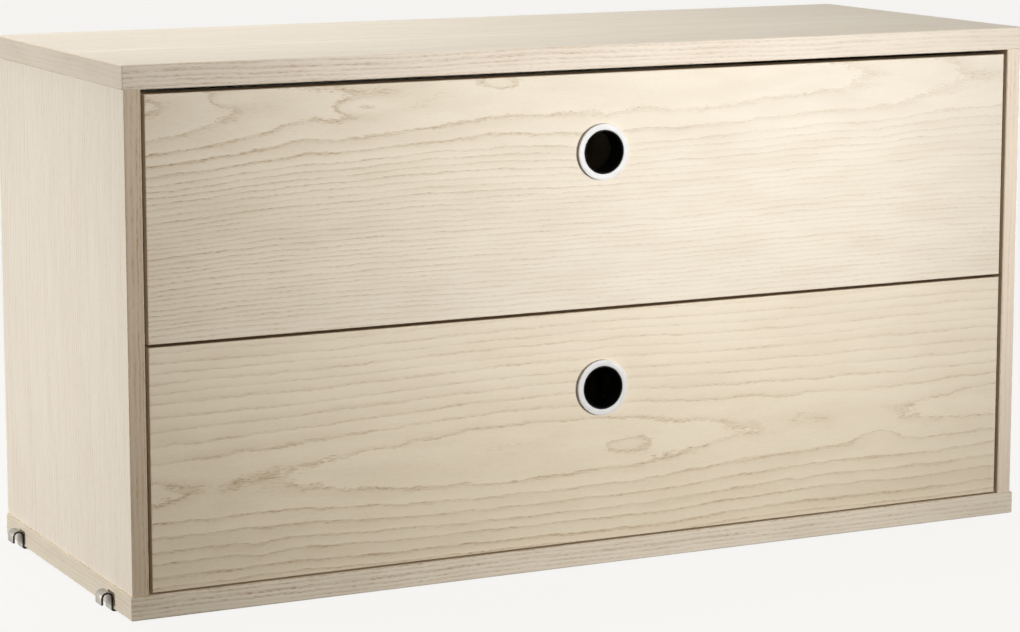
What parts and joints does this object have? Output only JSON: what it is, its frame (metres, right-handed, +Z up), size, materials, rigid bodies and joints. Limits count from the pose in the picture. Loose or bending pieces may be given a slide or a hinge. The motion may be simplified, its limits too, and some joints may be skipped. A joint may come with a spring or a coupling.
{
  "type": "wall shelving unit with drawers",
  "caption": "Wall-hung cabinet in pale ash veneer with stacked drawers on ball-bearing runners, round finger pulls and bent-steel hooks under its ends.",
  "frame": {"origin": "centre of the footprint, level with the underside of the hooks' feet", "axes": "+X to the right, drawers open towards -Y, +Z up"},
  "size_m": [0.7992, 0.3, 0.4098],
  "materials": {
    "ash_veneer": "clear satin lacquer",
    "back_board": "satin foil",
    "tongue": "raw beech",
    "drawer_board": "satin lacquer",
    "drawer_bottom": "satin foil",
    "hook_steel": "zinc-plated satin",
    "screw": "zinc-plated satin",
    "runner_steel": "zinc-plated satin",
    "cage_steel": "bright rolled",
    "ball": "polished",
    "white_plastic": "moulded satin gloss",
    "black_plastic": "moulded matt"
  },
  "bodies": {
    "case": {"top_panel": "ash_veneer", "bottom_panel": "ash_veneer", "left_side_panel": "ash_veneer", "right_side_panel": "ash_veneer", "back_panel": "back_board", "carcass_tongues": "tongue", "front_left_hook": "hook_steel", "front_right_hook": "hook_steel", "rear_left_hook": "hook_steel", "rear_right_hook": "hook_steel", "hook_screws": "screw", "lower_left_case_member": "runner_steel", "lower_right_case_member": "runner_steel", "upper_left_case_member": "runner_steel", "upper_right_case_member": "runner_steel"},
    "lower_drawer": {"lower_drawer_front": "ash_veneer", "lower_grip_ring": "white_plastic", "lower_grip_sleeve": "black_plastic", "lower_drawer_left_side": "drawer_board", "lower_drawer_right_side": "drawer_board", "lower_drawer_back": "drawer_board", "lower_drawer_bottom": "drawer_bottom", "lower_left_drawer_member": "runner_steel", "lower_right_drawer_member": "runner_steel"},
    "lower_middle_members": {"lower_left_middle_member": "runner_steel", "lower_right_middle_member": "runner_steel"},
    "lower_outer_cages": {"lower_left_outer_cage": "cage_steel", "lower_right_outer_cage": "cage_steel", "lower_outer_balls": "ball"},
    "lower_inner_cages": {"lower_left_inner_cage": "cage_steel", "lower_right_inner_cage": "cage_steel", "lower_inner_balls": "ball"},
    "upper_drawer": {"upper_drawer_front": "ash_veneer", "upper_grip_ring": "white_plastic", "upper_grip_sleeve": "black_plastic", "upper_drawer_left_side": "drawer_board", "upper_drawer_right_side": "drawer_board", "upper_drawer_back": "drawer_board", "upper_drawer_bottom": "drawer_bottom", "upper_left_drawer_member": "runner_steel", "upper_right_drawer_member": "runner_steel"},
    "upper_middle_members": {"upper_left_middle_member": "runner_steel", "upper_right_middle_member": "runner_steel"},
    "upper_outer_cages": {"upper_left_outer_cage": "cage_steel", "upper_right_outer_cage": "cage_steel", "upper_outer_balls": "ball"},
    "upper_inner_cages": {"upper_left_inner_cage": "cage_steel", "upper_right_inner_cage": "cage_steel", "upper_inner_balls": "ball"}
  },
  "joints": [
    {"name": "lower_drawer_slide", "type": "slide", "parent": "case", "child": "lower_drawer", "axis": [0, -1, 0], "range_m": [0, 0.25]},
    {"name": "lower_middle_members_slide", "type": "slide", "parent": "case", "child": "lower_middle_members", "axis": [0, -1, 0], "range_m": [0, 0.125]},
    {"name": "lower_outer_cages_slide", "type": "slide", "parent": "case", "child": "lower_outer_cages", "axis": [0, -1, 0], "range_m": [0, 0.0625]},
    {"name": "lower_inner_cages_slide", "type": "slide", "parent": "case", "child": "lower_inner_cages", "axis": [0, -1, 0], "range_m": [0, 0.1875]},
    {"name": "upper_drawer_slide", "type": "slide", "parent": "case", "child": "upper_drawer", "axis": [0, -1, 0], "range_m": [0, 0.25]},
    {"name": "upper_middle_members_slide", "type": "slide", "parent": "case", "child": "upper_middle_members", "axis": [0, -1, 0], "range_m": [0, 0.125]},
    {"name": "upper_outer_cages_slide", "type": "slide", "parent": "case", "child": "upper_outer_cages", "axis": [0, -1, 0], "range_m": [0, 0.0625]},
    {"name": "upper_inner_cages_slide", "type": "slide", "parent": "case", "child": "upper_inner_cages", "axis": [0, -1, 0], "range_m": [0, 0.1875]}
  ],
  "couplings": [
    {"joint": "lower_middle_members_slide", "follows": "lower_drawer_slide", "ratio": 0.5},
    {"joint": "lower_outer_cages_slide", "follows": "lower_drawer_slide", "ratio": 0.25},
    {"joint": "lower_inner_cages_slide", "follows": "lower_drawer_slide", "ratio": 0.75},
    {"joint": "upper_middle_members_slide", "follows": "upper_drawer_slide", "ratio": 0.5},
    {"joint": "upper_outer_cages_slide", "follows": "upper_drawer_slide", "ratio": 0.25},
    {"joint": "upper_inner_cages_slide", "follows": "upper_drawer_slide", "ratio": 0.75}
  ]
}
